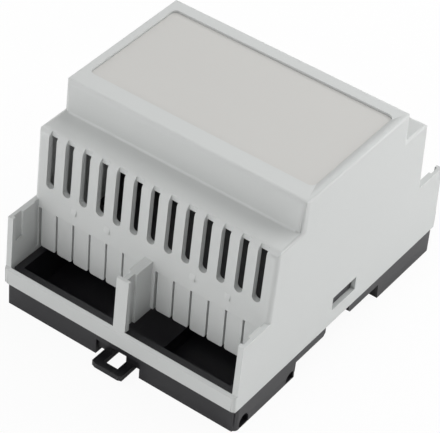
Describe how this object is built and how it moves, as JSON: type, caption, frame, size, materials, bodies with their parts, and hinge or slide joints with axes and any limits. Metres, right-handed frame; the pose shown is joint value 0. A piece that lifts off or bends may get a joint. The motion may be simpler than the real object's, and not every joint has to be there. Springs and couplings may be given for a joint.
{
  "type": "din rail enclosure",
  "caption": "Vented two-part moulded enclosure for DIN rail, with open terminal compartments, break-off wire tabs, a snap-in front panel and a sliding rail clip.",
  "frame": {"origin": "middle of the rail seat: the plane on the underside that bears on the front of the rail's flanges, half way along the rail and half way between the cover's two rims", "axes": "+X along the rail, +Y across the rail from the clip's side to the fixed hooks' side, +Z from the rail out through the front panel"},
  "size_m": [0.071, 0.0932, 0.058],
  "materials": {
    "cover_plastic": "light grey moulded, fine spark-eroded matt",
    "panel_plastic": "light grey moulded, matt",
    "base_plastic": "graphite grey moulded, satin",
    "clip_plastic": "black moulded, satin"
  },
  "bodies": {
    "housing": {"base": "base_plastic", "cover": "cover_plastic", "front_panel": "panel_plastic"},
    "clip": {"din_clip": "clip_plastic"}
  },
  "joints": [
    {"name": "clip_slide", "type": "slide", "parent": "housing", "child": "clip", "axis": [0, -1, 0], "range_m": [0, 0.004]}
  ]
}
